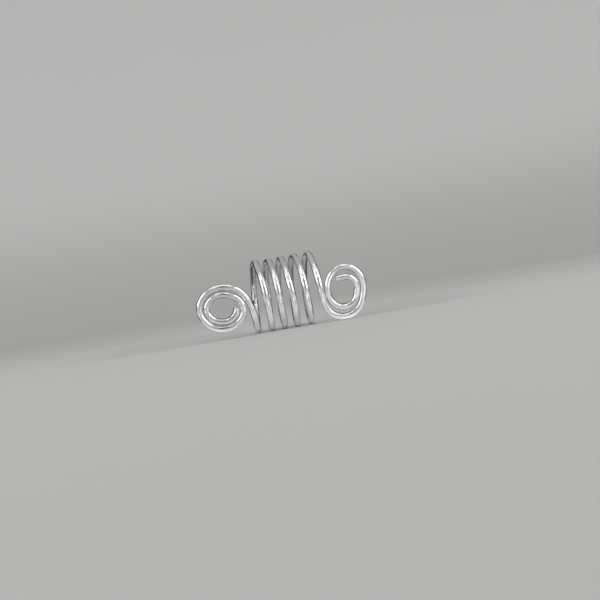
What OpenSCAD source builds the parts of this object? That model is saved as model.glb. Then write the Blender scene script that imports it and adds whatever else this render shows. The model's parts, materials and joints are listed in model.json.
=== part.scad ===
// Coiled wire hair cuff
// One soft round wire is wound into an open coil, and each end is rolled into a flat scroll
// that lies against the front of the coil. X runs along the coil, left to right.
// The cuff lies on its side, on its coil and on the lower edge of its right scroll.

/* [Wire] */
// Diameter of the round wire
wire_d = 1.2; // [0.8:0.05:1.5]
// Lean of the two snipped end faces towards the front, in degrees
snip_lean = 22; // [0:1:35]

/* [Coil] */
// Free height inside the coil
coil_bore = 11.3; // [9:0.1:16]
// Free depth inside the coil, from front to back
coil_depth = 12.9; // [9:0.1:16]
// Clear gap between neighbouring turns of the coil
coil_gap = 1.3; // [0.8:0.1:2.5]
// Turns from the first front strand to the last one
coil_turns = 5; // [3:1:8]

/* [Both scrolls] */
// Lean of the scrolls, whose lower edges stand to the front, in degrees
scroll_lean = 5; // [0:0.5:15]

/* [Left scroll] */
// Outer width of the left scroll
left_scroll_d = 9.2; // [8:0.1:12]
// Clear gap between the turns of the left scroll
left_turn_gap = 0.05; // [0.03:0.01:0.2]
// Clear gap beside the left scroll, level with its centre
left_neck_gap = 0.72; // [0.5:0.01:2]
// Height of the left scroll's centre above the coil's axis
left_rise = 0.32; // [-1:0.01:1]

/* [Right scroll] */
// Outer height of the right scroll
right_scroll_d = 10.2; // [9:0.1:12]
// Clear gap between the turns of the right scroll where they lie closest
right_turn_gap = 0.05; // [0.03:0.01:0.2]
// Clear gap beside the right scroll, level with its centre
right_neck_gap = 0.15; // [0.1:0.01:2]
// Height of the right scroll's centre above the coil's axis
right_rise = -0.41; // [-1:0.01:1]

/* [Hidden] */

// Radius of the wire, and half the coil's height and depth at the middle of the wire
wire_r = wire_d / 2;
half_height = coil_bore / 2 + wire_r;
half_depth = coil_depth / 2 + wire_r;
// Advance of the coil in one turn, and half its length at the front
pitch = wire_d + coil_gap;
half_run = coil_turns * pitch / 2;

// Sides of the wire's section, degrees of turn from ring to ring, and stretches in each neck
wire_sides = 10;
ring_angle = 10;
neck_stretches = 9;

// One full turn, and the turn angle at which the coil faces the front
full_turn = 360;
front_angle = 90;
// Turn angle at which a scroll comes back to the side that faces the coil
neck_angle = full_turn;
// Turn angle over which a scroll's heading is taken
heading_angle = 0.01;

// Hand-wound unevenness of the coil: share of its run, shift along it as a share of the pitch
coil_sway = [
    [0.0, -0.05],
    [0.2, 0.03],
    [0.4, 0.00],
    [0.6, -0.05],
    [0.8, 0.01],
    [1.0, 0.06]
];

// Turn angle at which each neck leaves the coil
left_leave_angle = 130;
right_leave_angle = 80;
// Pull of each neck along the coil and along the scroll, as shares of its span
left_pull_share = [0.38, 0.36];
right_pull_share = [0.35, 0.34];

// Left scroll, from its neck inwards:
// turn angle, share of its half width, steps inwards by one wire and its gap
left_turns = [
    [45, 1.055, 0],
    [75, 0.940, 0],
    [105, 0.920, 0],
    [135, 0.955, 0],
    [170, 1.015, 0],
    [215, 0.970, 0],
    [260, 0.945, 0],
    [300, 0.975, 0],
    [340, 1.000, 0],
    [358, 0.960, 0],
    [380, 0.950, 0.38],
    [402, 0.950, 0.80],
    [432, 0.935, 1.03],
    [467, 0.920, 1.04],
    [500, 0.955, 1.05],
    [530, 1.010, 1.04],
    [575, 0.970, 1.02],
    [620, 0.945, 1.02],
    [660, 0.975, 1.00],
    [685, 1.000, 1.03],
    [710, 1.010, 1.07]
];

// Right scroll, in the same columns; it is taller than it is wide, and wound more loosely
right_turns = [
    [60, 1.050, 0],
    [80, 1.025, 0],
    [110, 0.910, 0],
    [138, 0.785, 0],
    [165, 0.738, 0],
    [190, 0.780, 0],
    [225, 0.910, 0],
    [260, 1.000, 0],
    [282, 0.975, 0],
    [308, 0.875, 0],
    [334, 0.776, 0],
    [356, 0.825, 0.36],
    [378, 0.940, 0.86],
    [400, 1.020, 1.20],
    [422, 1.045, 1.38],
    [445, 1.015, 1.42],
    [470, 0.915, 1.27],
    [496, 0.795, 1.04],
    [525, 0.738, 1.00],
    [555, 0.805, 1.05],
    [580, 0.895, 1.18],
    [600, 0.950, 1.26],
    [620, 0.970, 1.36],
    [640, 0.960, 1.34],
    [660, 0.930, 1.12]
];

function unit(v) = v / norm(v);

// Row of a table that starts the stretch holding place a of its first column
function row_at(rows, a, i = 0) =
    i + 2 >= len(rows) || rows[i + 1][0] > a ? i : row_at(rows, a, i + 1);

// Rise of column c over one stretch of a table, for each unit of its first column
function stretch_rise(rows, i, c) = (rows[i + 1][c] - rows[i][c]) / (rows[i + 1][0] - rows[i][0]);

// Slope of column c at row i: the mean of the stretches on both sides, weighted towards the shorter
function row_slope(rows, i, c) =
    i == 0 ? stretch_rise(rows, 0, c) :
    i == len(rows) - 1 ? stretch_rise(rows, i - 1, c) :
    let (
        before = rows[i][0] - rows[i - 1][0],
        after = rows[i + 1][0] - rows[i][0]
    )
    (stretch_rise(rows, i - 1, c) * after + stretch_rise(rows, i, c) * before) / (before + after);

// Column c of a table at place a, on a smooth cubic through the rows
function smooth(rows, c, a) =
    let (
        i = row_at(rows, a),
        span = rows[i + 1][0] - rows[i][0],
        t = (a - rows[i][0]) / span,
        t2 = t * t,
        t3 = t2 * t
    )
    (2 * t3 - 3 * t2 + 1) * rows[i][c] + (t3 - 2 * t2 + t) * span * row_slope(rows, i, c) +
    (3 * t2 - 2 * t3) * rows[i + 1][c] + (t3 - t2) * span * row_slope(rows, i + 1, c);

// Distance of the wire's middle from the centre of a scroll of width d, at turn angle a
function scroll_radius(rows, d, gap, a) =
    (d - wire_d) / 2 * smooth(rows, 1, a) - (wire_d + gap) * smooth(rows, 2, a);

// Point of a scroll that faces the front; side is 1 for the left scroll and -1 for the right one
function scroll_point(rows, d, gap, centre, side, a) =
    let (
        r = side * scroll_radius(rows, d, gap, a),
        rise = r * sin(a)
    )
    [centre[0] + r * cos(a), rise * tan(scroll_lean) - half_depth, centre[1] + rise];

// Share of the coil's run at turn angle a, counted over all turns from the top of the first one
function run_share(a) = (a - front_angle) / (full_turn * coil_turns);

// Point of the coil at turn angle a
function coil_point(a) =
    [
        (2 * run_share(a) - 1) * half_run + pitch * smooth(coil_sway, 1, run_share(a)),
        -half_depth * sin(a),
        half_height * cos(a)
    ];

// Direction straight out of the coil at turn angle a
function coil_outward(a) = unit([0, -half_height * sin(a), half_depth * cos(a)]);

// Cubic curve from p to q, which leaves along the unit vector u and arrives along v, with the
// direction that its front faces turning from face_p to face_q
function neck(p, u, q, v, pulls, face_p, face_q) =
    let (
        span = norm(q - p),
        p1 = p + u * pulls[0] * span,
        q1 = q - v * pulls[1] * span
    )
    [for (i = [1 : neck_stretches - 1])
        let (t = i / neck_stretches, s = 1 - t)
        [
            s * s * s * p + 3 * s * s * t * p1 + 3 * s * t * t * q1 + t * t * t * q,
            s * face_p + t * face_q
        ]];

// Centres of the scrolls, as distance along the coil and height over its axis
left_centre = [
    -half_run - wire_d - left_neck_gap -
        scroll_radius(left_turns, left_scroll_d, left_turn_gap, neck_angle),
    left_rise
];
right_centre = [
    half_run + wire_d + right_neck_gap +
        scroll_radius(right_turns, right_scroll_d, right_turn_gap, neck_angle),
    right_rise
];

function left_point(a) =
    scroll_point(left_turns, left_scroll_d, left_turn_gap, left_centre, 1, a);
function right_point(a) =
    scroll_point(right_turns, right_scroll_d, right_turn_gap, right_centre, -1, a);

// Direction of a scroll or of the coil at turn angle a, for growing angles
function left_heading(a) = unit(left_point(a + heading_angle) - left_point(a));
function right_heading(a) = unit(right_point(a + heading_angle) - right_point(a));
function coil_heading(a) = unit(coil_point(a + heading_angle) - coil_point(a));

// Stations of each stretch from the left end of the wire to the right end: point, direction it faces
front = [0, -1, 0];
left_join = left_turns[0][0];
left_end = left_turns[len(left_turns) - 1][0];
left_scroll = [for (a = [left_end : -ring_angle : left_join]) [left_point(a), front]];

right_join = right_turns[0][0];
right_end = right_turns[len(right_turns) - 1][0];
right_scroll = [for (a = [right_join : ring_angle : right_end]) [right_point(a), front]];

coil_start = left_leave_angle;
coil_end = right_leave_angle + full_turn * coil_turns;
coil_stretches = round((coil_end - coil_start) / ring_angle);
coil = [for (i = [0 : coil_stretches])
    let (a = coil_start + (coil_end - coil_start) * i / coil_stretches)
    [coil_point(a), coil_outward(a)]];

left_neck = neck(
    left_point(left_join), -left_heading(left_join), coil_point(coil_start), coil_heading(coil_start),
    [left_pull_share[1], left_pull_share[0]], front, coil_outward(coil_start)
);
right_neck = neck(
    coil_point(coil_end), coil_heading(coil_end), right_point(right_join), right_heading(right_join),
    right_pull_share, coil_outward(coil_end), front
);

stations = concat(left_scroll, left_neck, coil, right_neck, right_scroll);
middle_line = [for (s = stations) s[0]];
last = len(middle_line) - 1;

// Direction of the wire at each ring
headings = [for (i = [0 : last])
    unit(middle_line[min(i + 1, last)] - middle_line[max(i - 1, 0)])];

// Offsets of one ring's corners from the middle line, the first one on the side that faces out
function ring(i) =
    let (
        heading = headings[i],
        face = stations[i][1],
        u = unit(face - heading * (face * heading)),
        w = cross(heading, u)
    )
    [for (j = [0 : wire_sides - 1])
        let (a = full_turn * j / wire_sides)
        wire_r * (cos(a) * u + sin(a) * w)];

// Shift of an end corner along the outward direction, so that the snipped face leans to the front
function snip_shift(i, corner) =
    i == 0 ? -headings[i] * corner[1] * tan(snip_lean) :
    i == last ? headings[i] * corner[1] * tan(snip_lean) : [0, 0, 0];

upright_points = [for (i = [0 : last], c = ring(i)) middle_line[i] + c + snip_shift(i, c)];

// Lowest point of the scrolls: its drop below the coil's axis and its depth to the front, as lengths
// and as shares of the coil's half height and half depth
scroll_points = [for (s = concat(left_scroll, right_scroll)) s[0]];
scroll_drop = -min([for (p = scroll_points) p[2]]);
scroll_reach = max([for (p = scroll_points) if (p[2] == -scroll_drop) -p[1]]);
drop_share = scroll_drop / half_height;
reach_share = scroll_reach / half_depth;
// Tilt at which the coil and that point touch the surface, on a tangent from the point to the oval
touch_angle = atan2(reach_share, drop_share) - acos(1 / norm([reach_share, drop_share]));
lay_tilt = atan(tan(touch_angle) * half_height / half_depth);
function laid(p) =
    [p[0], p[1] * cos(lay_tilt) - p[2] * sin(lay_tilt), p[1] * sin(lay_tilt) + p[2] * cos(lay_tilt)];
laid_points = [for (p = upright_points) laid(p)];

// Place of the model: centred over the origin, with its lowest point at height 0
function least(axis) = min([for (p = laid_points) p[axis]]);
function most(axis) = max([for (p = laid_points) p[axis]]);
to_origin = [-(least(0) + most(0)) / 2, -(least(1) + most(1)) / 2, -least(2)];

// Corner j of ring i in the list of points
function corner(i, j) = i * wire_sides + j % wire_sides;
end_faces = [
    [for (j = [0 : wire_sides - 1]) corner(0, j)],
    [for (j = [wire_sides - 1 : -1 : 0]) corner(last, j)]
];
side_faces = [for (i = [0 : last - 1], j = [0 : wire_sides - 1]) each [
    [corner(i, j), corner(i + 1, j), corner(i + 1, j + 1)],
    [corner(i, j), corner(i + 1, j + 1), corner(i, j + 1)]
]];

module wire_cuff() {
    color("silver")
        translate(to_origin)
            polyhedron(points = laid_points, faces = concat(end_faces, side_faces), convexity = 10);
}

wire_cuff();
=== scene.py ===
import json
import math
import bpy
import numpy as np
from mathutils import Matrix, Vector


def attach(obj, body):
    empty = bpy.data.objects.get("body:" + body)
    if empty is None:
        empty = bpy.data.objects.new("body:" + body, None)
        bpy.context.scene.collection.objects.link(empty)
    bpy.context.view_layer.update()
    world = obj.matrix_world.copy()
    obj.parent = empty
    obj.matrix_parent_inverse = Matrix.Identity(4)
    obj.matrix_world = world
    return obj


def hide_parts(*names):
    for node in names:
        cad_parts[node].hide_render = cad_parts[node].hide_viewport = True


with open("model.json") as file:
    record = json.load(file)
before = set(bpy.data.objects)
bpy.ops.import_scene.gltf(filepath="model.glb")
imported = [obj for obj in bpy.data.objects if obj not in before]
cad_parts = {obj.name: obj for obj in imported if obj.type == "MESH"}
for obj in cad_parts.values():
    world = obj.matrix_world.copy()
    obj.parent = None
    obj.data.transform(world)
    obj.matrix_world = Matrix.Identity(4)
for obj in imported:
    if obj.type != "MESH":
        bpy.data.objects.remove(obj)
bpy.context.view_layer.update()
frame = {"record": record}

mm = 0.001
tiny = 1e-9                                            # small enough to count as zero
coilCentre = frame["record"]["mounts"][0]["pos_m"]     # middle of the coil, on its axis

# The middle line of the wire. Lengths are in millimetres, angles in degrees.
wire = {
    "diameter": 1.2,
    "scrollLean": 5,       # lower edges of the scrolls stand to the front
    "turnPoints": 720,     # points to a turn of the middle line, before it is cut into even steps
    "headingStep": 0.01,   # turn over which the direction of the line is taken
}
coil = {
    "bore": 11.3,          # free height inside
    "depth": 12.9,         # free depth inside, front to back
    "gap": 1.3,            # between neighbouring turns
    "turns": 5,
    # unevenness: share of the coil's run, shift along it as a share of the pitch
    "sway": np.array([[0.0, -0.05], [0.2, 0.03], [0.4, 0.00], [0.6, -0.05], [0.8, 0.01], [1.0, 0.06]]),
}
# Each scroll: the side that it winds to, its width, the free space between its turns and between it and the
# coil, the height of its centre over the coil's, and the angle at which its neck leaves the coil. The pulls
# are the handles of the neck's curve, as shares of its span. The rows go from the neck inwards: turn angle,
# share of the half width, steps in by one wire.
leftScroll = {
    "side": 1, "width": 9.2, "turnGap": 0.05, "neckGap": 0.72, "rise": 0.32,
    "leaveAngle": 130, "coilPull": 0.38, "scrollPull": 0.36,
    "rows": np.array([
        [45, 1.055, 0], [75, 0.940, 0], [105, 0.920, 0], [135, 0.955, 0], [170, 1.015, 0],
        [215, 0.970, 0], [260, 0.945, 0], [300, 0.975, 0], [340, 1.000, 0], [358, 0.960, 0],
        [380, 0.950, 0.38], [402, 0.950, 0.80], [432, 0.935, 1.03], [467, 0.920, 1.04],
        [500, 0.955, 1.05], [530, 1.010, 1.04], [575, 0.970, 1.02], [620, 0.945, 1.02],
        [660, 0.975, 1.00], [685, 1.000, 1.03], [710, 1.010, 1.07]]),
}
rightScroll = {
    "side": -1, "width": 10.2, "turnGap": 0.05, "neckGap": 0.15, "rise": -0.41,
    "leaveAngle": 80, "coilPull": 0.35, "scrollPull": 0.34,
    "rows": np.array([
        [60, 1.050, 0], [80, 1.025, 0], [110, 0.910, 0], [138, 0.785, 0], [165, 0.738, 0],
        [190, 0.780, 0], [225, 0.910, 0], [260, 1.000, 0], [282, 0.975, 0], [308, 0.875, 0],
        [334, 0.776, 0], [356, 0.825, 0.36], [378, 0.940, 0.86], [400, 1.020, 1.20],
        [422, 1.045, 1.38], [445, 1.015, 1.42], [470, 0.915, 1.27], [496, 0.795, 1.04],
        [525, 0.738, 1.00], [555, 0.805, 1.05], [580, 0.895, 1.18], [600, 0.950, 1.26],
        [620, 0.970, 1.36], [640, 0.960, 1.34], [660, 0.930, 1.12]]),
}
scrolls = (leftScroll, rightScroll)
wireRadius = wire["diameter"] / 2
halfHeight = coil["bore"] / 2 + wireRadius
halfDepth = coil["depth"] / 2 + wireRadius
pitch = wire["diameter"] + coil["gap"]
halfRun = coil["turns"] * pitch / 2
front = np.array([0.0, -1.0, 0.0])


# each row of vectors divided by its own length
def unit(vectors):
    return vectors / np.linalg.norm(vectors, axis=-1, keepdims=True)


# direction from the first of two points to the second: their difference divided by its length
def headingOf(pair):
    return unit(pair[1] - pair[0])


# one column of a table at any places: the values and slopes of the rows on both sides, each times its own
# cubic of the share of the way; the slope at a row is the mean of the stretches on both sides, weighted
# towards the shorter one
def smoothColumn(rows, column, places):
    at, value = rows[:, 0], rows[:, column]
    span = np.diff(at)
    rise = np.diff(value) / span
    slope = np.concatenate([
        rise[:1], (rise[:-1] * span[1:] + rise[1:] * span[:-1]) / (span[1:] + span[:-1]), rise[-1:]])
    row = np.clip(np.searchsorted(at, places, side="right") - 1, 0, len(at) - 2)
    t = (places - at[row]) / span[row]     # share of the way to the next row
    return ((2 * t ** 3 - 3 * t ** 2 + 1) * value[row] + (t ** 3 - 2 * t ** 2 + t) * span[row] * slope[row]
            + (3 * t ** 2 - 2 * t ** 3) * value[row + 1] + (t ** 3 - t ** 2) * span[row] * slope[row + 1])


# distance from the scroll's centre: its half width times a share, less the steps in
def scrollRadius(scroll, angles):
    half = (scroll["width"] - wire["diameter"]) / 2
    step = wire["diameter"] + scroll["turnGap"]
    return half * smoothColumn(scroll["rows"], 1, angles) - step * smoothColumn(scroll["rows"], 2, angles)


# flat spiral in front of the coil: radius times cosine along X, radius times sine up, and the rise times
# the tangent of the lean to the back. Its centre stands out from the end of the coil by a wire, the gap and
# its radius at 360 degrees, which points at the coil
def scrollLine(scroll, angles):
    side = scroll["side"]
    centre = -side * (halfRun + wire["diameter"] + scroll["neckGap"]
                      + scrollRadius(scroll, np.array([360.0]))[0])
    turn = np.radians(angles)
    radius = side * scrollRadius(scroll, angles)
    rise = radius * np.sin(turn)
    return np.stack([centre + radius * np.cos(turn),
                     rise * math.tan(math.radians(wire["scrollLean"])) - halfDepth,
                     scroll["rise"] + rise], -1)


# oval helix along X: cosine up, sine to the front, and X in step with the angle, counted from the front
# at 90 degrees, plus the sway
def coilLine(angles):
    share = (angles - 90) / (360 * coil["turns"])
    turn = np.radians(angles)
    along = (2 * share - 1) * halfRun + pitch * smoothColumn(coil["sway"], 1, share)
    return np.stack([along, -halfDepth * np.sin(turn), halfHeight * np.cos(turn)], -1)


# direction straight out of the oval: the half height times the sine to the front, the half depth times
# the cosine up, divided by its length
def coilOutward(angles):
    turn = np.radians(angles)
    return unit(np.stack([np.zeros_like(turn), -halfHeight * np.sin(turn), halfDepth * np.cos(turn)], -1))


# cubic from start to end, which leaves and arrives along the given directions; each handle is as long
# as its pull times the distance from start to end
def neckLine(start, startHeading, end, endHeading, startPull, endPull, count):
    span = np.linalg.norm(end - start)
    t = np.linspace(0, 1, count)[1:-1, None]
    startHandle = start + startHeading * startPull * span
    endHandle = end - endHeading * endPull * span
    return ((1 - t) ** 3 * start + 3 * t * (1 - t) ** 2 * startHandle
            + 3 * t ** 2 * (1 - t) * endHandle + t ** 3 * end)


# the whole middle line from the left end of the wire to the right one: scroll, neck, coil, neck, scroll.
# With it come the direction that it faces, which goes over from the front to straight out of the oval
# along a neck, and the share of the coil in it, 0 in a scroll and 1 in the coil
def middleLine():
    fine = wire["turnPoints"]
    onward = np.array([0, wire["headingStep"]])      # from an angle to itself and one a little further
    leftAngles, rightAngles = [
        np.linspace(scroll["rows"][0, 0], scroll["rows"][-1, 0], 2 * fine) for scroll in scrolls]
    coilAngles = np.linspace(
        leftScroll["leaveAngle"], rightScroll["leaveAngle"] + 360 * coil["turns"], coil["turns"] * fine)
    leftPoints, rightPoints = scrollLine(leftScroll, leftAngles), scrollLine(rightScroll, rightAngles)
    coilPoints, outward = coilLine(coilAngles), coilOutward(coilAngles)
    leftNeck = neckLine(
        leftPoints[0], -headingOf(scrollLine(leftScroll, leftAngles[0] + onward)),
        coilPoints[0], headingOf(coilLine(coilAngles[0] + onward)),
        leftScroll["scrollPull"], leftScroll["coilPull"], fine)
    rightNeck = neckLine(
        coilPoints[-1], headingOf(coilLine(coilAngles[-1] + onward)),
        rightPoints[0], headingOf(scrollLine(rightScroll, rightAngles[0] + onward)),
        rightScroll["coilPull"], rightScroll["scrollPull"], fine)
    t = np.linspace(0, 1, fine)[1:-1, None]      # share of the way along a neck
    points = np.concatenate([leftPoints[::-1], leftNeck, coilPoints, rightNeck, rightPoints])
    facing = np.concatenate([
        np.tile(front, (len(leftPoints), 1)), unit((1 - t) * front + t * outward[0]), outward,
        unit((1 - t) * outward[-1] + t * front), np.tile(front, (len(rightPoints), 1))])
    inCoil = np.concatenate([
        np.zeros((len(leftPoints), 1)), t, np.ones((len(coilPoints), 1)), 1 - t,
        np.zeros((len(rightPoints), 1))])
    return points, facing, inCoil


# columns of a line at even steps of its own length, read off straight between the line's points
def evenSteps(points, columns, step):
    length = np.concatenate([[0], np.cumsum(np.linalg.norm(np.diff(points, axis=0), axis=1))])
    at = np.linspace(0, length[-1], int(round(length[-1] / step)) + 1)
    return at, [np.stack([np.interp(at, length, line) for line in column.T], -1) for column in columns]


# sum of sine waves of the distance, each with its own length, height and seeded start
def waver(at, waves, seed):
    draw = np.random.default_rng(seed)
    total = np.zeros_like(at)
    for length, height in waves:
        total += height * np.sin(2 * np.pi * (at / length + draw.uniform(0, 1)))
    return total[:, None]


# tilt about X of the straight line that touches the coil's oval and a scroll's lowest point. With the oval
# drawn as a circle of radius 1, it touches at the angle of that point less the arc cosine of
# 1 / the point's distance
def layTilt():
    finePoints = 4000      # of each scroll, to find its lowest one
    edge = np.concatenate([
        scrollLine(scroll, np.linspace(scroll["rows"][0, 0], scroll["rows"][-1, 0], finePoints))
        for scroll in scrolls])
    low = edge[edge[:, 2].argmin()]
    drop, reach = -low[2] / halfHeight, -low[1] / halfDepth
    touch = math.atan2(reach, drop) - math.acos(1 / math.hypot(drop, reach))
    return math.atan(math.tan(touch) * halfHeight / halfDepth)


# turned about X by the tilt, Y = y * cosine - z * sine and Z = y * sine + z * cosine, then made metres
# and moved so that the coil's middle is at its place
def laid(points, tilt):
    y = points[..., 1] * math.cos(tilt) - points[..., 2] * math.sin(tilt)
    z = points[..., 1] * math.sin(tilt) + points[..., 2] * math.cos(tilt)
    return np.stack([points[..., 0], y, z], -1) * mm + np.array(coilCentre)


# The surface of the wire, in millimetres
skin = {
    "sides": 32,             # faces round the wire
    "ringLength": 0.12,      # from one ring of vertices to the next
    "coilWaves": [(17, 0.035), (7.3, 0.014), (3.1, 0.004)],   # length and height of bends left by hand
    "scrollWaves": [(11, 0.03), (4.7, 0.012)],
    "seeds": {"coilOutward": 3, "coilSideways": 5, "scroll": 4},
    "bendFlat": 0.05,        # flattening across a bend whose radius is the wire's thickness
    "snipLean": 22,          # lean of the two cut faces towards the front, in degrees
    "snipReach": 1.3,        # stretch over which the rings lean over to a cut face
    "rimRound": 0.1,         # rounding of the rim of a cut face
    "rimRings": 5,
    "faceRings": 7,
    "faceRidge": 0.05,       # low ridge across a cut face, where the two blades met
}
# marks of the pliers: distance from the end, half length, depth, degrees round the wire from the front
plierMarks = {
    "leftEnd": [(1.25, 0.62, 0.050, 8), (1.35, 0.60, 0.045, 188), (8.4, 0.8, 0.018, 80)],
    "rightEnd": [(1.35, 0.70, 0.055, -6), (1.30, 0.66, 0.045, 174), (9.6, 0.9, 0.020, -75)],
}
plierGrip = {
    "press": 0.88,           # share of what stands past a mark's plane that is pressed in
    "squareness": 6,         # power of the distance by which a mark fades at its two ends
    "dulling": 2.5,          # how fast the metal dulls towards a mark's middle
}


# what a direction keeps across the heading: direction - heading * (direction . heading), at length 1
def acrossHeading(direction, heading):
    return unit(direction - heading * (direction * heading).sum(1, keepdims=True))


# the middle line with the bends left by the hand, and its three directions: heading, outward, sideways.
# The bends go outward and sideways in the coil, and to the front and back only in the scrolls
def handBent(at, points, facing, inCoil):
    heading = unit(np.gradient(points, axis=0))
    outward = acrossHeading(facing, heading)
    seeds = skin["seeds"]
    coilBends = waver(at, skin["coilWaves"], seeds["coilOutward"])
    sideBends = waver(at, skin["coilWaves"], seeds["coilSideways"])
    scrollBends = waver(at, skin["scrollWaves"], seeds["scroll"])
    points = (points + outward * (inCoil * coilBends + (1 - inCoil) * scrollBends)
              + np.cross(heading, outward) * inCoil * sideBends)
    heading = unit(np.gradient(points, axis=0))
    outward = acrossHeading(outward, heading)
    return points, heading, outward, np.cross(heading, outward)


# radius of the rings of one end, and how far they stand in from the cut: the face from its middle outwards,
# then the rim, a quarter of a circle with radius - round * (1 - sine) and in by round * (1 - cosine)
def endRings():
    quarter = np.linspace(0, np.pi / 2, skin["rimRings"] + 1)
    rimRadius = wireRadius - skin["rimRound"] * (1 - np.sin(quarter))
    faceRadius = np.linspace(0, rimRadius[0], skin["faceRings"] + 1)[1:-1]
    rimInward = skin["rimRound"] * (1 - np.cos(quarter))
    return np.concatenate([faceRadius, rimRadius]), np.concatenate([faceRadius * 0, rimInward])


# the section at a bend: seen in the bend's own direction, it is thinner by flattening * tightness towards
# the bend, and wider by half as much across it
def bentSection(out, side, bendOut, bendSide):
    tight = np.hypot(bendOut, bendSide) + tiny
    towardsBend = (out * bendOut + side * bendSide) * (1 - skin["bendFlat"] * tight) / tight
    acrossBend = (side * bendOut - out * bendSide) * (1 + skin["bendFlat"] * tight / 2) / tight
    return ((towardsBend * bendOut - acrossBend * bendSide) / tight,
            (towardsBend * bendSide + acrossBend * bendOut) / tight)


# the section at the marks of the pliers: what stands past a mark's plane goes in by most of its height,
# times 1 / (1 + (distance from the mark / half length) ** squareness) along the wire
def pressedSection(out, side, fromEnd, onLeft):
    gripped = out * 0
    for end, marks in plierMarks.items():
        for middle, half, depth, degrees in marks:
            pressOut, pressSide = math.cos(math.radians(degrees)), math.sin(math.radians(degrees))
            window = (onLeft == (end == "leftEnd")) / (
                1 + ((fromEnd - middle) / half) ** plierGrip["squareness"])
            raised = np.maximum(out * pressOut + side * pressSide - wireRadius + depth, 0) * window
            out = out - plierGrip["press"] * raised * pressOut
            side = side - plierGrip["press"] * raised * pressSide
            gripped = np.maximum(gripped, np.clip(raised / depth * plierGrip["dulling"], 0, 1))
    return out, side, gripped


# shift along the wire: rings near an end lean by out * tangent of the lean, blended in by the square of
# their nearness, and a cut face has a ridge that rises in a straight line from both sides to its middle
def leanedOver(out, side, inward, fromEnd):
    blend = np.clip(1 - fromEnd / skin["snipReach"], 0, 1) ** 2
    ridge = skin["faceRidge"] * np.clip(1 - np.abs(side) / wireRadius, 0, 1) * (fromEnd < tiny)
    return inward + out * math.tan(math.radians(skin["snipLean"])) * blend - ridge


# the wire as a round section carried along the middle line, closed at both snipped ends:
# place = middle + outward * radius * cosine + sideways * radius * sine + heading * shift
def wireSurface(tilt):
    points, facing, inCoil = middleLine()
    at, (points, facing, inCoil) = evenSteps(points, [points, facing, inCoil], skin["ringLength"])
    points, heading, outward, sideways = handBent(at, points, facing, inCoil)
    bend = np.gradient(heading, skin["ringLength"], axis=0) * wire["diameter"]

    # rings: the left end, the body, and the rings of an end backwards at the right end
    endRadius, endInward = endRings()
    last = len(at) - 1
    body = np.arange(1, last)
    ring = np.concatenate([endRadius * 0, body, endRadius * 0 + last]).astype(int)
    radius = np.concatenate([endRadius, body * 0 + wireRadius, endRadius[::-1]])[:, None]
    inward = np.concatenate([endInward, body * 0, endInward[::-1]])[:, None]
    onLeft = (ring < last / 2)[:, None]
    fromEnd = np.where(onLeft, at[ring][:, None], at[-1] - at[ring][:, None]) + inward

    angle = 2 * np.pi * np.arange(skin["sides"]) / skin["sides"]
    bendOut, bendSide = [(bend * way).sum(1)[ring][:, None] for way in (outward, sideways)]
    out, side = bentSection(radius * np.cos(angle), radius * np.sin(angle), bendOut, bendSide)
    out, side, gripped = pressedSection(out, side, fromEnd, onLeft)
    shift = leanedOver(out, side, inward, fromEnd)
    shift = np.where(onLeft, shift, -shift)
    surface = (points[ring][:, None] + out[..., None] * outward[ring][:, None]
               + side[..., None] * sideways[ring][:, None] + shift[..., None] * heading[ring][:, None])
    straight = np.stack([at[ring][:, None] + shift, out, side], -1)
    ridge = skin["faceRidge"]
    poles = [points[0] - ridge * heading[0], points[-1] + ridge * heading[-1]]
    straightPoles = [[-ridge, 0, 0], [at[-1] + ridge, 0, 0]]
    return {
        "places": laid(np.concatenate([surface.reshape(-1, 3), poles]), tilt),
        "straight": np.concatenate([straight.reshape(-1, 3), straightPoles]),   # as before it was bent
        "gripped": np.concatenate([gripped.ravel(), [0, 0]]),
        "profile": np.stack([at[ring] + np.where(onLeft, inward, -inward)[:, 0], radius[:, 0]], -1),
    }


# quads over a grid whose points count ring * columns + column; a closed grid joins its last column
# to its first
def gridQuads(rings, columns, closed):
    row, column = [grid.ravel() for grid in np.meshgrid(
        np.arange(rings - 1), np.arange(columns if closed else columns - 1), indexing="ij")]
    after = (column + 1) % columns
    return np.stack([row * columns + column, (row + 1) * columns + column,
                     (row + 1) * columns + after, row * columns + after], -1)


# an object with the given places and faces, shaded smooth
def newPiece(name, places, faces, materials):
    mesh = bpy.data.meshes.new(name)
    mesh.from_pydata(places.tolist(), [], faces)
    mesh.polygons.foreach_set("use_smooth", np.ones(len(faces), bool))
    for material in materials:
        mesh.materials.append(material)
    mesh.update()
    piece = bpy.data.objects.new(name, mesh)
    bpy.context.scene.collection.objects.link(piece)
    return piece


# rows of the wire laid flat in its UV map
flatRows = {
    "count": 9,
    "spare": 0.02,           # share of a row that stays empty after the last stretch
    "start": 0.01,           # margin at the left of a row, and what the wire fills, as shares of its length
    "long": 0.97,
    "below": 0.05,           # margin under a row, and what the wire fills, as shares of its height
    "high": 0.90,
}


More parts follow.
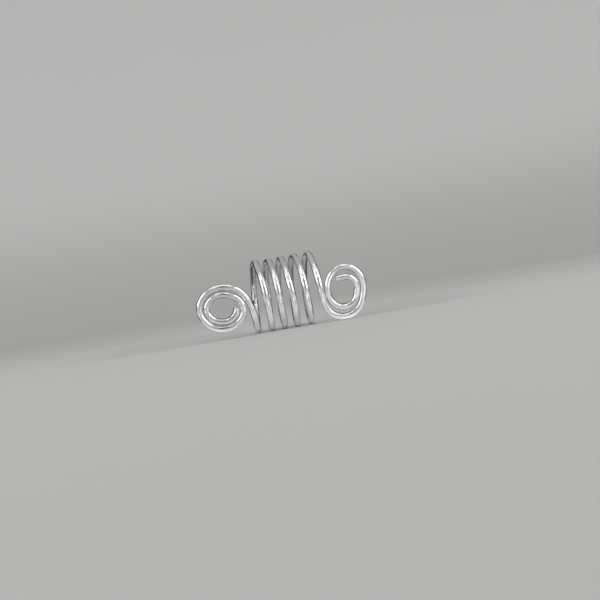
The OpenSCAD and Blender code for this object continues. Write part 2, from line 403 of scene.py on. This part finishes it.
# the wire laid flat: distance over its surface from pole to pole along a row, way round it across the row;
# row = whole part of distance / row length, and the rest of it is the place along the row
def laidFlat(profile, nearRing, quadCount):
    sides = skin["sides"]
    withPoles = np.concatenate([profile[:1] * [1, 0], profile, profile[-1:] * [1, 0]])
    over = np.concatenate([[0], np.cumsum(np.hypot(*np.diff(withPoles, axis=0).T))])
    rowLength = over[-1] / (flatRows["count"] - flatRows["spare"])
    row = np.floor(over[nearRing] / rowLength)
    near, far = [flatRows["start"] + flatRows["long"] * (over[ring] / rowLength - row)
                 for ring in (nearRing, nearRing + 1)]
    wayRound = (np.arange(len(nearRing)) % sides) / sides
    low, middle, high = [
        (row + flatRows["below"] + flatRows["high"] * (wayRound + step / sides)) / flatRows["count"]
        for step in (0, 0.5, 1)]
    isQuad = np.arange(len(nearRing)) < quadCount
    isLeft = nearRing == 0
    quads = np.stack([near, low, near, high, far, high, far, low], -1)[isQuad]
    leftFan = np.stack([near, middle, far, high, far, low], -1)[isLeft]
    rightFan = np.stack([far, middle, near, low, near, high], -1)[~isQuad & ~isLeft]
    return np.concatenate([quads.ravel(), leftFan.ravel(), rightFan.ravel()])


# the wire's piece: quads between neighbouring rings, then a fan of triangles to the pole at each end
def wirePiece(name, skinned, materials):
    sides, rings = skin["sides"], len(skinned["profile"])
    quads = gridQuads(rings, sides, True)[:, [0, 3, 2, 1]]       # turned to face outwards
    corner = np.arange(sides)
    after = (corner + 1) % sides
    leftPole, lastRing = rings * sides, (rings - 1) * sides
    leftFan = np.stack([corner * 0 + leftPole, after, corner], -1)
    rightFan = np.stack([corner * 0 + leftPole + 1, lastRing + corner, lastRing + after], -1)
    piece = newPiece(
        name, skinned["places"], quads.tolist() + leftFan.tolist() + rightFan.tolist(), materials)
    mesh = piece.data

    # the ring where each face begins, counted from 0 at the left pole
    nearRing = np.concatenate([np.repeat(np.arange(1, rings), sides), corner * 0, corner * 0 + rings])
    uvMap = mesh.uv_layers.new(name="OFBake")
    uvMap.uv.foreach_set("vector", laidFlat(skinned["profile"], nearRing, len(quads)))
    straight = mesh.attributes.new("straightWire", "FLOAT_VECTOR", "POINT")
    straight.data.foreach_set("vector", skinned["straight"].ravel())
    gripped = mesh.attributes.new("gripped", "FLOAT", "POINT")
    gripped.data.foreach_set("value", skinned["gripped"])
    cut = (nearRing < skin["faceRings"]) | (nearRing > rings - skin["faceRings"])
    mesh.polygons.foreach_set("material_index", cut.astype(np.int32))
    mesh.update()
    return piece


# a node with its settings, and its inputs set: a number or colour as it is, a socket by a link
def addNode(tree, kind, settings, inputs):
    node = tree.nodes.new(kind)
    for key, value in settings.items():
        setattr(node, key, value)
    for key, value in inputs.items():
        if isinstance(value, bpy.types.NodeSocket):
            tree.links.new(value, node.inputs[key])
        else:
            node.inputs[key].default_value = value
    return node.outputs


# one number out of two, by the named operation
def calculated(tree, operation, first, second):
    return addNode(tree, "ShaderNodeMath", {"operation": operation}, {0: first, 1: second})[0]


# soft noise from 0 to 1: as many spots to a unit of length as the scale, with finer layers added
def noise(tree, place, scale, layers):
    return addNode(tree, "ShaderNodeTexNoise", {}, {"Vector": place, "Scale": scale, "Detail": layers})[0]


# 0 below low, 1 above high, smooth between
def softStep(tree, value, low, high):
    return addNode(tree, "ShaderNodeMapRange", {"interpolation_type": "SMOOTHSTEP"},
                   {"Value": value, "From Min": low, "From Max": high})[0]


# from one number to another as the share goes from 0 to 1
def between(tree, share, start, end):
    return addNode(tree, "ShaderNodeMapRange", {}, {"Value": share, "To Min": start, "To Max": end})[0]


# from one colour to another as the share goes from 0 to 1; 6, 7 and 2 are the node's colour sockets
def mixColours(tree, share, start, end):
    return addNode(tree, "ShaderNodeMix", {"data_type": "RGBA"}, {0: share, 6: start, 7: end})[2]


# an empty node group with named sockets; an input has its usual value too
def newGroup(name, inputs, outputs):
    group = bpy.data.node_groups.new(name, "ShaderNodeTree")
    for label, kind, usual in inputs:
        socket = group.interface.new_socket(label, in_out="INPUT", socket_type=kind)
        if usual is not None:
            socket.default_value = usual
    for label in outputs:
        group.interface.new_socket(label, in_out="OUTPUT", socket_type="NodeSocketFloat")
    return group, group.nodes.new("NodeGroupInput").outputs, group.nodes.new("NodeGroupOutput").inputs


# lines drawn along the metal
drawn = {
    "lines": 9, "stretch": 30,        # usual values: lines to a millimetre, length of one against its width
    "lineLayers": 3,
    "broad": 0.8,                     # broad streaks for each line
    "broadLayers": 4,
    "streak": (0.40, 0.64),           # noise at which a streak begins and at which it is full
}


# noise whose place is squeezed along the first axis: fine for the lines, a little broader for the streaks
def drawnLinesGroup():
    group, given, result = newGroup(
        "drawnLines",
        [("Place", "NodeSocketVector", None), ("Lines", "NodeSocketFloat", drawn["lines"]),
         ("Stretch", "NodeSocketFloat", drawn["stretch"])],
        ["Height", "Streak"])
    squeeze = addNode(group, "ShaderNodeCombineXYZ", {},
                      {0: calculated(group, "DIVIDE", 1, given["Stretch"]), 1: 1, 2: 1})[0]
    place = addNode(group, "ShaderNodeVectorMath", {"operation": "MULTIPLY"},
                    {0: given["Place"], 1: squeeze})[0]
    group.links.new(noise(group, place, given["Lines"], drawn["lineLayers"]), result["Height"])
    broadScale = calculated(group, "MULTIPLY", given["Lines"], drawn["broad"])
    broad = noise(group, place, broadScale, drawn["broadLayers"])
    group.links.new(softStep(group, broad, *drawn["streak"]), result["Streak"])
    return group


# traces of handling, in millimetres
handled = {
    "patch": 2.5, "nick": 0.25,       # usual sizes
    "patchLayers": 3, "nickLayers": 1,
    "dull": (0.36, 0.66),             # noise at which a patch begins and at which it is full
    "nicked": (0.66, 0.80),
}


# dull patches from soft noise, and sparse small nicks where fine noise is highest
def handWearGroup():
    group, given, result = newGroup(
        "handWear",
        [("Place", "NodeSocketVector", None), ("Patch", "NodeSocketFloat", handled["patch"]),
         ("Nick", "NodeSocketFloat", handled["nick"])],
        ["Dull", "Nicks"])
    patchScale = calculated(group, "DIVIDE", 1, given["Patch"])
    patches = noise(group, given["Place"], patchScale, handled["patchLayers"])
    group.links.new(softStep(group, patches, *handled["dull"]), result["Dull"])
    nickScale = calculated(group, "DIVIDE", 1, given["Nick"])
    fine = noise(group, given["Place"], nickScale, handled["nickLayers"])
    group.links.new(softStep(group, fine, *handled["nicked"]), result["Nicks"])
    return group


drawnLines = drawnLinesGroup()
handWear = handWearGroup()

dullShares = {"streaks": 0.5, "patches": 0.5}    # how much each takes the metal from bright to dull
drawnWireLook = {
    "bright": (0.91, 0.915, 0.925, 1), "dull": (0.72, 0.725, 0.735, 1),
    "smooth": 0.10, "satin": 0.27,               # roughness where bright and where dull
    "lines": 3.6, "stretch": 40, "turn": (0, 0, 0),
    "patch": 2.6, "nick": 0.22,
    "lineHeight": 0.03, "nickHeight": 0.008,     # in millimetres
}
snippedFaceLook = {
    "bright": (0.96, 0.96, 0.965, 1), "dull": (0.86, 0.86, 0.87, 1),
    "smooth": 0.82, "satin": 0.94,
    "lines": 14, "stretch": 14, "turn": (0, math.pi / 2, 0),     # sheared across the face
    "patch": 0.8, "nick": 0.12,
    "lineHeight": 0.010, "nickHeight": 0.010,
}


# a bare metal between a bright and a dull state: dullness = streaks * share + patches * share, or the
# pliers' grip where that is more; relief = lines * height - nicks * height
def bareMetal(name, look):
    material = bpy.data.materials.new(name)
    material.use_nodes = True
    tree = material.node_tree
    shader = tree.nodes["Principled BSDF"]
    shader.inputs["Metallic"].default_value = 1
    straight = addNode(tree, "ShaderNodeAttribute", {"attribute_name": "straightWire"}, {})["Vector"]
    turned = addNode(tree, "ShaderNodeMapping", {}, {"Vector": straight, "Rotation": look["turn"]})[0]
    lines = addNode(tree, "ShaderNodeGroup", {"node_tree": drawnLines},
                    {"Place": turned, "Lines": look["lines"], "Stretch": look["stretch"]})
    wear = addNode(tree, "ShaderNodeGroup", {"node_tree": handWear},
                   {"Place": straight, "Patch": look["patch"], "Nick": look["nick"]})
    gripped = addNode(tree, "ShaderNodeAttribute", {"attribute_name": "gripped"}, {})["Fac"]
    share = calculated(tree, "ADD",
                       calculated(tree, "MULTIPLY", lines["Streak"], dullShares["streaks"]),
                       calculated(tree, "MULTIPLY", wear["Dull"], dullShares["patches"]))
    share = calculated(tree, "MAXIMUM", share, gripped)
    tree.links.new(mixColours(tree, share, look["bright"], look["dull"]), shader.inputs["Base Color"])
    tree.links.new(between(tree, share, look["smooth"], look["satin"]), shader.inputs["Roughness"])
    height = calculated(tree, "SUBTRACT",
                        calculated(tree, "MULTIPLY", lines["Height"], look["lineHeight"]),
                        calculated(tree, "MULTIPLY", wear["Nicks"], look["nickHeight"]))
    relief = addNode(tree, "ShaderNodeBump", {}, {"Height": height, "Strength": 1.0, "Distance": mm})
    tree.links.new(relief["Normal"], shader.inputs["Normal"])
    return material


tilt = layTilt()
print("tilt of the lying cuff in degrees:", round(math.degrees(tilt), 3))
wireCuff = wirePiece("wireCuff", wireSurface(tilt),
                     [bareMetal("drawnWire", drawnWireLook), bareMetal("snippedFace", snippedFaceLook)])
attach(wireCuff, "root")
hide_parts("wire_cuff")
print("wire cuff built:", len(wireCuff.data.polygons), "faces")

# the floor and the room, in metres
studio = {
    "flat": 0.30,            # flat radius of the floor
    "innerRings": (0.02, 0.10),      # radius of the rings inside it
    "bend": 0.16,            # radius of the bend round it
    "bendRings": 25,
    "slope": 62,             # degrees at which the floor rises beyond its bend
    "rim": 0.42,             # height of its rim
    "around": 96,            # points to a ring
    # the wall's colour is paler than the floor's as painted light, for the light that reaches the wall less
    "floorColour": (0.66, 0.66, 0.648, 1),
    "wallColour": (0.90, 0.90, 0.89, 1),
    "wallHeight": 0.10,      # from here up the floor has the wall's colour
    "paperRoughness": 0.9,
    "room": (0.45, 0.45, 0.445, 1),          # colour of the light from all round
}


# a matt surface of one colour
def plainMatt(name, colour):
    material = bpy.data.materials.new(name)
    material.use_nodes = True
    shader = material.node_tree.nodes["Principled BSDF"]
    shader.inputs["Base Color"].default_value = colour
    shader.inputs["Roughness"].default_value = studio["paperRoughness"]
    return material


# paper that goes over from the floor's colour to the wall's by its height; the wall's paler colour is
# painted light, making up for the lamps' light that reaches it less than the floor
def floorPaper():
    paper = plainMatt("palePaper", studio["floorColour"])
    tree = paper.node_tree
    place = addNode(tree, "ShaderNodeTexCoord", {}, {})["Object"]
    rise = addNode(tree, "ShaderNodeSeparateXYZ", {}, {0: place})["Z"]
    share = softStep(tree, rise, 0, studio["wallHeight"])
    tree.links.new(mixColours(tree, share, studio["floorColour"], studio["wallColour"]),
                   tree.nodes["Principled BSDF"].inputs["Base Color"])
    return paper


# round floor: flat in the middle, then a bend with radius flat + bend * sine and height
# bend * (1 - cosine), and a straight slope up to the rim
def paleFloor():
    turn = np.radians(np.linspace(0, studio["slope"], studio["bendRings"]))
    radius = studio["flat"] + studio["bend"] * np.sin(turn)
    height = studio["bend"] * (1 - np.cos(turn))
    rimRadius = radius[-1] + (studio["rim"] - height[-1]) / math.tan(turn[-1])
    radius = np.concatenate([studio["innerRings"], radius, [rimRadius]])
    height = np.concatenate([np.zeros(len(studio["innerRings"])), height, [studio["rim"]]])
    around = studio["around"]
    way = np.linspace(0, 2 * np.pi, around, endpoint=False)
    places = np.stack([np.outer(radius, np.cos(way)), np.outer(radius, np.sin(way)),
                       np.outer(height, np.ones(around))], -1).reshape(-1, 3)
    faces = [list(range(around))] + gridQuads(len(radius), around, True).tolist()
    newPiece("paleFloor", places, faces, [floorPaper()])


# Cards that only the metal sees, as painted reflections: dark ones paint shade along the wire's edges, pale
# and glowing ones paint highlights and light from below. Each fades in from the start and the end of its
# first range, then of its second one, over the four lengths in "fade".
cardPapers = {
    # the dark and dim papers paint shade into the metal's reflections; the pale ones glow as painted light
    # and paint highlights and pale reflections into it
    "paintedShadePaper": {"colour": (0.03, 0.03, 0.03, 1), "glow": 0},
    "paintedDimShadePaper": {"colour": (0.12, 0.12, 0.12, 1), "glow": 0},
    "paintedPaleReflectionPaper": {"colour": (0.66, 0.66, 0.65, 1), "glow": 0.05},
    "paintedSoftGlowPaper": {"colour": (0.85, 0.85, 0.845, 1), "glow": 0.16},
    "paintedUnderglowPaper": {"colour": (0.90, 0.90, 0.895, 1), "glow": 0.42},
    "paintedHighlightPaper": {"colour": (0.95, 0.95, 0.945, 1), "glow": 0.7},
}
cardPoints = {"standing": 33, "lying": 65}       # points along each side
# a standing card is a patch of a ball round the cuff, in degrees, with the ball's radius in metres
standingCards = {
    # three dark cards of painted shade: dark reflections at the wire's right and left edges, and a dark line
    # in front between its highlights
    "rightPaintedShade": {"paper": "paintedShadePaper", "azimuth": (92, 178), "elevation": (0.3, 40),
                  "fade": (18, 14, 0.1, 22), "distance": 0.16},
    "leftPaintedShade": {"paper": "paintedShadePaper", "azimuth": (-178, -92), "elevation": (0.3, 40),
                 "fade": (14, 18, 0.1, 22), "distance": 0.16},
    "frontPaintedShade": {"paper": "paintedShadePaper", "azimuth": (-10, 10), "elevation": (0.3, 50),
                  "fade": (5, 5, 0.1, 8), "distance": 0.16},
}
# a lying card is flat, in metres, and lifted clear of the floor and the others; the two dark ones that hang
# behind the scrolls, a little higher than their tops, paint shade along the scrolls' top edges
lyingCards = {
    # painted pale reflection: a faintly glowing card on the floor in front, seen only in the metal
    "paintedFrontReflection": {"paper": "paintedPaleReflectionPaper", "x": (-0.08, 0.08), "y": (-0.16, -0.003),
              "fade": (0.03, 0.03, 0.08, 0.005), "lift": 0.00003},
    # painted highlights: three glowing stripes in front, seen only in the metal as bright streaks along the
    # turns
    "leftPaintedHighlight": {"paper": "paintedHighlightPaper", "x": (-0.036, -0.024), "y": (-0.14, -0.013),
                   "fade": (0.004, 0.004, 0.07, 0.003), "lift": 0.00006},
    "middlePaintedHighlight": {"paper": "paintedHighlightPaper", "x": (-0.003, 0.007), "y": (-0.14, -0.013),
                     "fade": (0.003, 0.004, 0.07, 0.003), "lift": 0.00006},
    "rightPaintedHighlight": {"paper": "paintedHighlightPaper", "x": (0.015, 0.033), "y": (-0.14, -0.013),
                    "fade": (0.004, 0.006, 0.07, 0.003), "lift": 0.00006},
    # painted light from below: glowing cards under the scrolls, seen only in the metal as bright lower edges
    "leftPaintedUnderglow": {"paper": "paintedUnderglowPaper", "x": (-0.022, -0.0065), "y": (-0.0115, -0.0030),
                 "fade": (0.003, 0.0015, 0.0060, 0.002), "lift": 0.00009},
    "rightPaintedUnderglow": {"paper": "paintedUnderglowPaper", "x": (0.0065, 0.022), "y": (-0.0115, -0.0030),
                  "fade": (0.0015, 0.003, 0.0060, 0.002), "lift": 0.00009},
    # painted light under the coil: a softly glowing card, seen only in the metal as lighter lower ends of
    # the turns
    "coilPaintedGlow": {"paper": "paintedSoftGlowPaper", "x": (-0.0085, 0.0085), "y": (-0.0160, -0.0010),
                 "fade": (0.002, 0.002, 0.0070, 0.002), "lift": 0.00012},
    # painted dim shade on the floor behind the cuff, darkening the lower edges of the wire in its
    # reflections
    "leftPaintedDimShade": {"paper": "paintedDimShadePaper", "x": (-0.05, -0.0065), "y": (-0.0055, 0.06),
                "fade": (0.02, 0.002, 0.0015, 0.03), "lift": 0.00006},
    "rightPaintedDimShade": {"paper": "paintedDimShadePaper", "x": (0.0085, 0.05), "y": (-0.0055, 0.06),
                 "fade": (0.002, 0.02, 0.0015, 0.03), "lift": 0.00006},
    # painted shade: dark cards behind the scrolls, seen only as dark lines along their top edges
    "leftPaintedEdgeShade": {"paper": "paintedShadePaper", "x": (-0.024, -0.0068), "y": (-0.0050, 0.022),
                  "fade": (0.003, 0.0015, 0.0015, 0.006), "lift": 0.0110},
    "rightPaintedEdgeShade": {"paper": "paintedShadePaper", "x": (0.0086, 0.024), "y": (-0.0050, 0.022),
                   "fade": (0.0015, 0.003, 0.0015, 0.006), "lift": 0.0110},
}


# 0 at the ends of a range and 1 between, by the smooth step share * share * (3 - 2 * share) over each
# of the two lengths
def fadedEnds(values, startLength, endLength):
    fromStart = np.clip((values - values[0]) / startLength, 0, 1)
    share = fromStart * np.clip((values[-1] - values) / endLength, 0, 1)
    return share * share * (3 - 2 * share)


# paper of one colour, which glows by a share of it as painted light and is as solid as the card's "solid"
# says
def cardPaper(name, look):
    paper = plainMatt(name, look["colour"])
    tree = paper.node_tree
    shader = tree.nodes["Principled BSDF"]
    shader.inputs["Emission Color"].default_value = look["colour"]
    shader.inputs["Emission Strength"].default_value = look["glow"]
    solid = addNode(tree, "ShaderNodeAttribute", {"attribute_name": "solid"}, {})["Fac"]
    tree.links.new(solid, shader.inputs["Alpha"])
    return paper


# a grid of places as a card; how solid it is at a place is the product of the fades along its two sides
def reflectedCard(name, places, firstFade, secondFade, paper):
    solid = np.outer(firstFade, secondFade)
    piece = newPiece(name, places.reshape(-1, 3), gridQuads(*solid.shape, False).tolist(), [paper])
    piece.data.attributes.new("solid", "FLOAT", "POINT").data.foreach_set("value", solid.ravel())
    # the card shows only in the metal, as a painted reflection
    piece.visible_camera = piece.visible_diffuse = piece.visible_shadow = False


# direction from the cuff for an azimuth, 0 at the front and growing to the right, and an elevation:
# (sin azimuth * cos elevation, -cos azimuth * cos elevation, sin elevation)
def towards(azimuth, elevation):
    around, up = np.radians(azimuth), np.radians(elevation)
    return np.stack([np.sin(around) * np.cos(up), -np.cos(around) * np.cos(up), np.sin(up)], -1)


# place = distance * direction for every azimuth and elevation of the card's two ranges
def standingCard(name, card, paper):
    azimuth, elevation = [
        np.linspace(*card[key], cardPoints["standing"]) for key in ("azimuth", "elevation")]
    places = card["distance"] * towards(*np.meshgrid(azimuth, elevation, indexing="ij"))
    reflectedCard(name, places, fadedEnds(azimuth, *card["fade"][:2]),
                  fadedEnds(elevation, *card["fade"][2:]), paper)


# place = (x, y, lift) for every x and y of the card's two ranges
def lyingCard(name, card, paper):
    x, y = [np.linspace(*card[key], cardPoints["lying"]) for key in ("x", "y")]
    places = np.stack(np.meshgrid(x, y, card["lift"], indexing="ij"), -1)
    reflectedCard(name, places, fadedEnds(x, *card["fade"][:2]), fadedEnds(y, *card["fade"][2:]), paper)


# soft lamps, in degrees and metres: azimuth, elevation and distance round the cuff, size, and brightness
# of the lamp's face; a strip shows in the metal and leaves the floor as it is
lamps = {
    "rightBox": {"azimuth": 68, "elevation": 28, "distance": 0.30, "size": (0.16, 0.24),
                 "bright": 1.3, "lightsFloor": True},
    "leftBox": {"azimuth": -72, "elevation": 28, "distance": 0.30, "size": (0.14, 0.24),
                "bright": 1.4, "lightsFloor": True},
    "rightStrip": {"azimuth": 40, "elevation": 21, "distance": 0.26, "size": (0.035, 0.18),
                   "bright": 3.6, "lightsFloor": False},
    "leftStrip": {"azimuth": -47, "elevation": 21, "distance": 0.26, "size": (0.030, 0.18),
                  "bright": 3.4, "lightsFloor": False},
    "topStrip": {"azimuth": 0, "elevation": 40, "distance": 0.28, "size": (0.20, 0.03),
                 "bright": 1.6, "lightsFloor": False},
    "overhead": {"azimuth": 0, "elevation": 70, "distance": 0.50, "size": (0.40, 0.28),
                 "bright": 0.8, "lightsFloor": True},
}


# a lamp turned to the cuff; its power is pi * area of its face * brightness of the face
def softLamp(name, lamp):
    light = bpy.data.lights.new(name, "AREA")
    light.shape = "RECTANGLE"
    light.size, light.size_y = lamp["size"]
    light.energy = math.pi * light.size * light.size_y * lamp["bright"]
    way = Vector(towards(lamp["azimuth"], lamp["elevation"]))
    lampObject = bpy.data.objects.new(name, light)
    lampObject.location = Vector(coilCentre) + way * lamp["distance"]
    lampObject.rotation_euler = way.to_track_quat("Z", "Y").to_euler()
    lampObject.visible_camera = False
    lampObject.visible_diffuse = lamp["lightsFloor"]
    bpy.context.scene.collection.objects.link(lampObject)


# light of one colour from all round
def softRoom(colour):
    world = bpy.data.worlds.new("softRoom")
    world.use_nodes = True
    world.node_tree.nodes["Background"].inputs["Color"].default_value = colour
    bpy.context.scene.world = world


paleFloor()
papers = {name: cardPaper(name, look) for name, look in cardPapers.items()}
for name, card in standingCards.items():
    standingCard(name, card, papers[card["paper"]])
for name, card in lyingCards.items():
    lyingCard(name, card, papers[card["paper"]])
for name, lamp in lamps.items():
    softLamp(name, lamp)
softRoom(studio["room"])
bpy.context.scene.view_settings.view_transform = "Standard"
print("floor and lamps placed")

# the camera, in degrees and metres, with its lens in millimetres: the cuff is turned and placed in the frame
# as in the picture, and is seen from as low as the floor allows
view = {
    "azimuth": -5.26, "elevation": 0.8, "roll": 9.57,
    "distance": 0.1889, "lens": 60, "nearest": 0.005,
    "aside": (0.003224, -0.001549),      # middle of the picture from the coil's middle, to the right and up
}


# the camera stands back from its aim by the distance; the picture's right and up are the level ones turned
# by the roll, right = cosine * right - sine * up and up = sine * right + cosine * up
def pictureCamera(name):
    back = Vector(towards(view["azimuth"], view["elevation"]))
    azimuth, roll = math.radians(view["azimuth"]), math.radians(view["roll"])
    levelRight = Vector((math.cos(azimuth), math.sin(azimuth), 0))
    levelUp = back.cross(levelRight)
    right = math.cos(roll) * levelRight - math.sin(roll) * levelUp
    up = math.sin(roll) * levelRight + math.cos(roll) * levelUp
    aim = Vector(coilCentre) + view["aside"][0] * right + view["aside"][1] * up
    camera = bpy.data.objects.new(name, bpy.data.cameras.new(name))
    camera.data.lens = view["lens"]
    camera.data.clip_start = view["nearest"]
    turned = Matrix((right, up, back)).transposed().to_4x4()
    camera.matrix_world = Matrix.Translation(aim + back * view["distance"]) @ turned
    bpy.context.scene.collection.objects.link(camera)
    bpy.context.scene.camera = camera


pictureCamera("camera")
print("camera placed")
